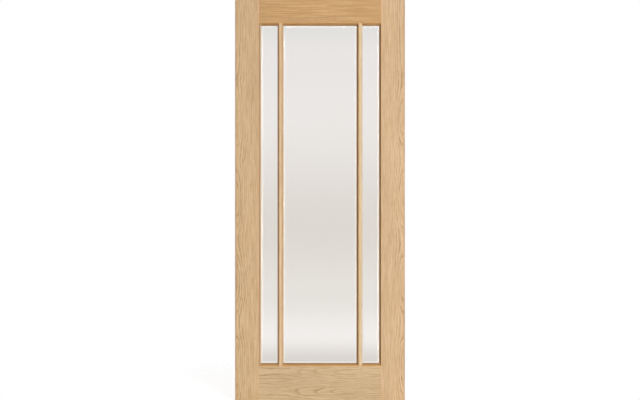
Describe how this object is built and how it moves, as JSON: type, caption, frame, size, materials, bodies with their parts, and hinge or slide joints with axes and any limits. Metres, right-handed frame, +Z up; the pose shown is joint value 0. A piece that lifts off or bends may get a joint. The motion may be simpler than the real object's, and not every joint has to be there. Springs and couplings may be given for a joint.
{
  "type": "glazed interior door",
  "caption": "Oak-faced interior door leaf with upright lights of clear bevelled glass between slim glazing bars, held by mitred beads.",
  "frame": {"origin": "foot of the hinge edge, midway through the leaf's thickness", "axes": "+Z up, +X across the leaf from the hinge edge to the lock edge, front face towards -Y"},
  "size_m": [0.838, 0.035, 1.981],
  "materials": {
    "oak_veneer": "satin lacquered oak veneer",
    "oak_lipping": "satin lacquered solid oak",
    "oak_bar": "satin lacquered solid oak",
    "oak_bead": "satin lacquered solid oak",
    "core_board": "sawn softwood staves",
    "bevelled_glass": "clear polished"
  },
  "bodies": {
    "root": {"left_stile_core": "core_board", "left_stile_front_veneer": "oak_veneer", "left_stile_back_veneer": "oak_veneer", "right_stile_core": "core_board", "right_stile_front_veneer": "oak_veneer", "right_stile_back_veneer": "oak_veneer", "top_rail_core": "core_board", "top_rail_front_veneer": "oak_veneer", "top_rail_back_veneer": "oak_veneer", "bottom_rail_core": "core_board", "bottom_rail_front_veneer": "oak_veneer", "bottom_rail_back_veneer": "oak_veneer", "left_stile_outer_lipping": "oak_lipping", "left_stile_inner_lipping": "oak_lipping", "left_stile_front_bead": "oak_bead", "left_stile_back_bead": "oak_bead", "right_stile_outer_lipping": "oak_lipping", "right_stile_inner_lipping": "oak_lipping", "right_stile_front_bead": "oak_bead", "right_stile_back_bead": "oak_bead", "top_rail_lipping": "oak_lipping", "top_rail_front_beads": "oak_bead", "top_rail_back_beads": "oak_bead", "bottom_rail_lipping": "oak_lipping", "bottom_rail_front_beads": "oak_bead", "bottom_rail_back_beads": "oak_bead", "left_glazing_bar": "oak_bar", "left_bar_front_beads": "oak_bead", "left_bar_back_beads": "oak_bead", "right_glazing_bar": "oak_bar", "right_bar_front_beads": "oak_bead", "right_bar_back_beads": "oak_bead", "left_glass": "bevelled_glass", "centre_glass": "bevelled_glass", "right_glass": "bevelled_glass"}
  },
  "joints": []
}
